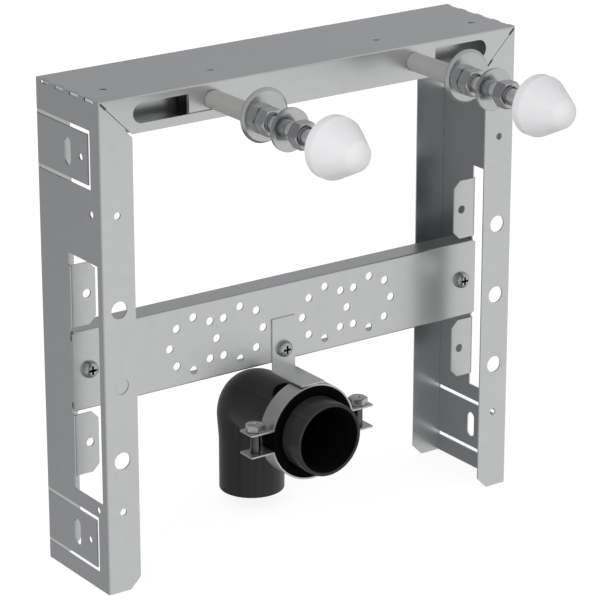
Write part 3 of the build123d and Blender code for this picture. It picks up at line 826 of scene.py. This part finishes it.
class StudSettings(PropertyGroup):
    """Sizes and finish of the basin studs."""
    pitch: size_setting("Pitch", "Thread pitch", 1.75 * MM)
    depth: size_setting("Thread depth", "Crest to root", 0.4 * MM)
    nut_flats: size_setting("Nut flats", "Size across flats", 18 * MM)
    nut_turn: FloatProperty(name="Nut turn", description="How far each nut was turned", default=math.radians(30),
                            unit="ROTATION")
    washer_rise: size_setting("Washer rise", "How far the rear washer sits off centre", 3.0 * MM)
    sleeve_bore: size_setting("Sleeve bore", "Inner radius of the sleeve", 5.8 * MM)
    zinc_grey: grey_setting("Zinc grey", "Screen grey of the plating", 198)
    zinc_roughness: share_setting("Zinc roughness", "Blur of the plating's gloss", 0.2)
    rod_roughness: share_setting("Rod roughness", "Blur of the rods' gloss", 0.3)


class CapSettings(PropertyGroup):
    """Sizes and colour of the caps."""
    wall: size_setting("Wall", "Thickness of the cap", 1.8 * MM)
    rim: size_setting("Rim", "Height of the straight rim", 7.0 * MM)
    tip: size_setting("Tip radius", "Roundness of the tip", 12.0 * MM)
    boss: size_setting("Boss", "Outer radius of the boss inside", 7.7 * MM)
    grey: grey_setting("White", "Screen grey of the plastic", 247)


class ElbowSettings(PropertyGroup):
    """Sizes of the waste elbow."""
    pipe: size_setting("Pipe", "Outer radius of the spigot", 25 * MM)
    wall: size_setting("Wall", "Thickness of the pipe", 1.8 * MM)
    socket: size_setting("Socket", "Outer radius of the socket", 28 * MM)
    socket_bore: size_setting("Socket bore", "Inner radius of the socket", 25.2 * MM)
    socket_length: size_setting("Socket length", "Length of the socket outside", 64 * MM)
    socket_depth: size_setting("Socket depth", "Depth of the socket's bore", 46 * MM)
    body: size_setting("Body", "Outer radius at the bend", 26.4 * MM)
    spigot_level: size_setting("Spigot level", "Height where the spigot begins", 52 * MM)
    bend: size_setting("Bend", "Radius of the bend's centre line", 12 * MM)


class ClampSettings(PropertyGroup):
    """Sizes of the pipe clamp."""
    flats: size_setting("Bolt flats", "Size across the bolt heads' flats", 13 * MM)
    head: size_setting("Bolt head", "Height of the bolt heads", 5.5 * MM)
    shank: size_setting("Bolt shank", "Radius of the bolts", 3.65 * MM)
    bore: size_setting("Lining bore", "Inner radius of the rubber", 28.1 * MM)
    edge: size_setting("Band edge", "Rounding of the band's edges", 0.3 * MM)


class ScrewSettings(PropertyGroup):
    """Sizes of the pan head screws and their nuts."""
    head: size_setting("Head", "Height of the head", 4.8 * MM)
    shank: size_setting("Shank", "Radius of the shank", 3 * MM)
    span: size_setting("Recess span", "Length of the recess's arms", 6.6 * MM)
    width: size_setting("Recess width", "Width of the recess's arms", 1.7 * MM)
    depth: size_setting("Recess depth", "Depth of the recess", 3 * MM)
    nut_flats: size_setting("Nut flats", "Size across flats", 10 * MM)


class StageSettings(PropertyGroup):
    """Camera, floor and light of the studio."""
    camera_place: place_setting("Camera", "Where the camera stands", (-1.1873, -1.63372, 0.91428))
    camera_target: place_setting("Target", "What the camera looks at", (-0.01425, 0.03155, 0.18956))
    lens: FloatProperty(name="Lens", description="Focal length in millimetres", default=179.95, min=1)
    world_light: FloatProperty(name="World", description="Strength of the light from all round", default=0.685)
    world_tilt: FloatProperty(name="World tilt", description="How much stronger it is from the front right",
                              default=0.355)
    world_dusk: share_setting("World below", "Share of the light that is missing below", 0.6)
    key_light: FloatProperty(name="Key", description="Power of the lamp at the upper left", default=34.0)
    fill_light: FloatProperty(name="Fill", description="Power of the lamp in front", default=8.0)
    floor_size: size_setting("Floor", "Half the width of the floor", 12.0)


# Operators, one for each piece or group of like pieces

class BASINFRAME_OT_sheet(Operator):
    """Give the folded posts, header, crossbar, bracket, stud rails and plates their zinc finish and soft edges"""
    bl_idname = "basinframe.sheet"
    bl_label = "Folded Sheet"

    def execute(self, context):
        settings = context.scene.basinframe_sheet
        upright = sheet_finish("zinc_sheet_upright", "Z", settings.grey, settings.roughness)
        level = sheet_finish("zinc_sheet_level", "X", settings.grey, settings.roughness)
        low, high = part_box("right_post")
        web = (high[0] - SHEET, low[1] + FOLD_DEPTH, high[1] - SHEET)
        # The posts' inner faces get painted shade
        post = sheet_finish("zinc_sheet_post", "Z", settings.grey, settings.roughness, inside=web)
        for side in SIDES:
            dress(f"{side}_post", post, settings.edge)
        dress("clamp_bracket", upright, settings.edge)
        for node in ("header", "crossbar", "stud_rail_left", "stud_rail_right"):
            dress(node, level, settings.edge)
        # The slider plates get painted shade behind their front
        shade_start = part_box("stud_plate_left")[0][1] + SLIDER_SHADE_DEPTH
        slider = sheet_finish("zinc_sheet_slider", "X", settings.grey, settings.roughness, shade_behind=shade_start)
        for side in SIDES:
            dress(f"stud_plate_{side}", slider, settings.edge)
        return {"FINISHED"}


class BASINFRAME_OT_studs(Operator):
    """Make the threaded studs with their sleeves, washers and nuts"""
    bl_idname = "basinframe.studs"
    bl_label = "Basin Studs"

    def execute(self, context):
        s = context.scene.basinframe_studs
        zinc = zinc_finish("zinc_hardware", s.zinc_grey, s.zinc_roughness)
        bright = zinc_finish("zinc_rods", s.zinc_grey + ROD_TONE, s.rod_roughness)
        sleeve = plastic_finish("sleeve_plastic", SLEEVE_GREYS, roughness=0.24, depth=0.005 * MM, blue=-0.055,
                                gloss=0.7)
        for side in SIDES:
            threaded_rod(f"stud_{side}", s.pitch, s.depth, bright)
            spacer_sleeve(f"spacer_sleeve_{side}", s.sleeve_bore, 0.3 * MM, sleeve)
            bezel_ring(f"rear_washer_{side}", WASHER_BORE, s.washer_rise, bevel=1.9 * MM, edge=0.2 * MM,
                       material=zinc)
            bezel_ring(f"front_washer_{side}", WASHER_BORE, 0.0, bevel=0.0, edge=0.3 * MM, material=zinc)
            for place in ("plate", "rear", "front"):
                nut(f"{place}_nut_{side}", FORWARD, s.nut_flats, STUD_NUT_BORE, s.nut_turn, zinc)
        return {"FINISHED"}


class BASINFRAME_OT_caps(Operator):
    """Make the two white caps over the studs' ends"""
    bl_idname = "basinframe.caps"
    bl_label = "Stud Caps"

    def execute(self, context):
        s = context.scene.basinframe_caps
        low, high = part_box("stud_cap_right")
        centre = on_axis("stud_cap_right", high[1]).tolist()
        milky = milky_finish("cap_plastic", s.grey, centre, (high[0] - low[0]) / 2, s.rim, s.wall)
        for side in SIDES:
            basin_cap(f"stud_cap_{side}", s.wall, s.boss, s.rim, s.tip, milky)
        return {"FINISHED"}


class BASINFRAME_OT_elbow(Operator):
    """Make the black waste elbow"""
    bl_idname = "basinframe.elbow"
    bl_label = "Waste Elbow"

    def execute(self, context):
        s = context.scene.basinframe_elbow
        low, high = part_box("waste_elbow")
        mouth = (0.0, low[1], high[2] - s.socket)
        depth = high[1] - s.body - s.bend - low[1]
        black = pipe_finish("waste_plastic", PIPE_GREYS, 0.3, mouth, s.socket_bore, depth)
        waste_bend("waste_elbow", s, black)
        return {"FINISHED"}


class BASINFRAME_OT_clamp(Operator):
    """Make the pipe clamp's rubber lining and bolts, and finish its two bands"""
    bl_idname = "basinframe.clamp"
    bl_label = "Pipe Clamp"

    def execute(self, context):
        s = context.scene.basinframe_clamp
        studs = context.scene.basinframe_studs
        bolt_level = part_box("clamp_bolt_left")[1][2] - s.head
        # The bolts' shanks below their heads get painted shade
        zinc = zinc_finish("zinc_clamp", studs.zinc_grey + CLAMP_TONE, studs.zinc_roughness + CLAMP_BLUR,
                           shade_below=bolt_level)
        band = sheet_finish("zinc_band", "X", BAND_GREY, roughness=0.36)
        rubber = plastic_finish("lining_rubber", RUBBER_GREYS, roughness=0.7, depth=0.01 * MM, gloss=0.03)
        rubber_lining("clamp_lining", s.bore, tongue_radius=10.5 * MM, tongue_thickness=1.6 * MM,
                      tongue_reach=16.3 * MM, bead=2.6 * MM, material=rubber)
        for half in ("upper", "lower"):
            dress(f"clamp_{half}_half", band, s.edge)
        for side in SIDES:
            hexagon_bolt(f"clamp_bolt_{side}", s.flats, s.head, s.shank, dimple=1.8 * MM, turn=BOLT_TURNS[side],
                         material=zinc)
        return {"FINISHED"}


class BASINFRAME_OT_screws(Operator):
    """Make the pan head screws and their nuts"""
    bl_idname = "basinframe.screws"
    bl_label = "Screws"

    def execute(self, context):
        s = context.scene.basinframe_screws
        studs = context.scene.basinframe_studs
        for name in ("crossbar_screw_left", "crossbar_screw_right", "bracket_screw"):
            face = on_axis(name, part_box(name)[0][1]).tolist()
            recess = (face, RECESS_SHADE_DEPTH, s.span / 2 + 0.1 * MM)
            plating = zinc_finish(f"zinc_{name}", studs.zinc_grey + SCREW_TONE, studs.zinc_roughness, recess)
            pan_screw(name, s.head, s.shank, s.span, s.width, s.depth, plating)
        zinc = zinc_finish("zinc_screw_nuts", studs.zinc_grey + SCREW_NUT_TONE, studs.zinc_roughness)
        for name in ("crossbar_nut_left", "crossbar_nut_right", "bracket_nut"):
            nut(name, BACKWARD, s.nut_flats, s.shank + 0.05 * MM, 0.0, zinc)
        return {"FINISHED"}


class BASINFRAME_OT_stage(Operator):
    """Set the camera, the pale floor and the soft studio lamps"""
    bl_idname = "basinframe.stage"
    bl_label = "Studio"

    def execute(self, context):
        s = context.scene.basinframe_stage
        place_camera(s.camera_place, s.camera_target, s.lens)
        place_floor(s.floor_size)
        light_world(s.world_light, s.world_tilt, s.world_dusk)
        soft_lamp("key_lamp", KEY_PLACE, s.camera_target, 2.2, s.key_light)
        soft_lamp("fill_lamp", FILL_PLACE, s.camera_target, 2.6, s.fill_light)
        context.scene.view_settings.view_transform = "Standard"
        return {"FINISHED"}


def aim(thing, place, target):
    """Stand a camera or a lamp at a place, facing the target."""
    thing.location = place
    thing.rotation_euler = (Vector(target) - Vector(place)).to_track_quat("-Z", "Y").to_euler()


def place_camera(place, target, lens):
    """A camera at the photograph's place and angle."""
    data = bpy.data.cameras.new("camera")
    data.lens = lens
    data.sensor_width = 36.0
    camera = in_scene("camera", data)
    aim(camera, place, target)
    bpy.context.scene.camera = camera


def place_floor(half):
    """A pale floor that keeps the object's shadow, and that reflections look through to the light below."""
    mesh = bpy.data.meshes.new("floor")
    corners = np.array([(-half, -half, 0), (half, -half, 0), (half, half, 0), (-half, half, 0)], float)
    mesh.from_pydata(corners, [], [(0, 1, 2, 3)])
    floor = in_scene("floor", mesh)
    shader = new_shader("floor")
    seen = shader.add("ShaderNodeLightPath", output="Is Camera Ray")
    mirrored = shader.add("ShaderNodeLightPath", output="Is Glossy Ray")
    matt = shader.add("ShaderNodeBsdfDiffuse", None, {"Color": (0.9, 0.9, 0.9, 1.0)})
    white = shader.add("ShaderNodeEmission", None, {"Strength": FLOOR_GLOW})
    pale = shader.add("ShaderNodeMixShader", None, {0: seen * FLOOR_GLOW_SHARE, 1: matt, 2: white})
    backdrop = shader.add("ShaderNodeBsdfTransparent")
    mixed = shader.add("ShaderNodeMixShader", None, {0: mirrored, 1: pale, 2: backdrop})
    shader.add("ShaderNodeOutputMaterial", None, {"Surface": mixed})
    mesh.materials.append(shader.owner)


def light_world(strength, tilt, dusk):
    """Pale light from all round, stronger from the front right, bluish behind and dim below.

    Along a way w it is (strength + tilt * dot(w, bright side)) * (1 - dusk * below), and white to the camera.
    """
    world = bpy.data.worlds.new("studio")
    bpy.context.scene.world = world
    shader = Shader(world)
    rays = shader.add("ShaderNodeLightPath", output="Is Camera Ray")
    facing = shader.vector("DOT_PRODUCT", shader.place(), BRIGHT_SIDE, "Value")
    below = shader.past(0.0 - shader.axis(shader.place(), "Z"), start=0.52, width=0.3)
    level = (strength + tilt * facing) * (1.0 - dusk * below)
    tint = shader.blend(shader.past(facing, start=-0.3, width=0.9), BACK_LIGHT, FRONT_LIGHT)
    tint = shader.blend(rays, tint, WHITE)
    light = shader.add("ShaderNodeBackground", None, {"Color": tint, "Strength": level + (1.0 - level) * rays})
    shader.add("ShaderNodeOutputWorld", None, {"Surface": light})


def soft_lamp(name, place, target, size, power):
    """A square soft lamp that faces the target and doesn't show in reflections."""
    data = bpy.data.lights.new(name, "AREA")
    data.shape = "RECTANGLE"
    data.size = data.size_y = size
    data.energy = power
    lamp = in_scene(name, data)
    lamp.visible_glossy = False
    aim(lamp, place, target)


STEPS = (BASINFRAME_OT_sheet, BASINFRAME_OT_studs, BASINFRAME_OT_caps, BASINFRAME_OT_elbow,
         BASINFRAME_OT_clamp, BASINFRAME_OT_screws, BASINFRAME_OT_stage)
SETTINGS = {
    "basinframe_sheet": SheetSettings,
    "basinframe_studs": StudSettings,
    "basinframe_caps": CapSettings,
    "basinframe_elbow": ElbowSettings,
    "basinframe_clamp": ClampSettings,
    "basinframe_screws": ScrewSettings,
    "basinframe_stage": StageSettings,
}


class BASINFRAME_PT_panel(Panel):
    """The frame's settings and steps, in the 3D view's sidebar"""
    bl_idname = "BASINFRAME_PT_panel"
    bl_label = "Basin Frame"
    bl_space_type = "VIEW_3D"
    bl_region_type = "UI"
    bl_category = "Basin Frame"

    def draw(self, context):
        for step, (name, group) in zip(STEPS, SETTINGS.items()):
            box = self.layout.box()
            box.operator(step.bl_idname)
            for prop in group.__annotations__:
                box.prop(getattr(context.scene, name), prop)


def register():
    for name, group in SETTINGS.items():
        bpy.utils.register_class(group)
        setattr(bpy.types.Scene, name, PointerProperty(type=group))
    for step in STEPS:
        bpy.utils.register_class(step)
    bpy.utils.register_class(BASINFRAME_PT_panel)


def unregister():
    bpy.utils.unregister_class(BASINFRAME_PT_panel)
    for step in reversed(STEPS):
        bpy.utils.unregister_class(step)
    for name, group in SETTINGS.items():
        delattr(bpy.types.Scene, name)
        bpy.utils.unregister_class(group)


def main():
    """Register the add-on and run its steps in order."""
    register()
    bpy.ops.basinframe.sheet()
    bpy.ops.basinframe.studs()
    bpy.ops.basinframe.caps()
    bpy.ops.basinframe.elbow()
    bpy.ops.basinframe.clamp()
    bpy.ops.basinframe.screws()
    bpy.ops.basinframe.stage()


if __name__ == "__main__":
    main()
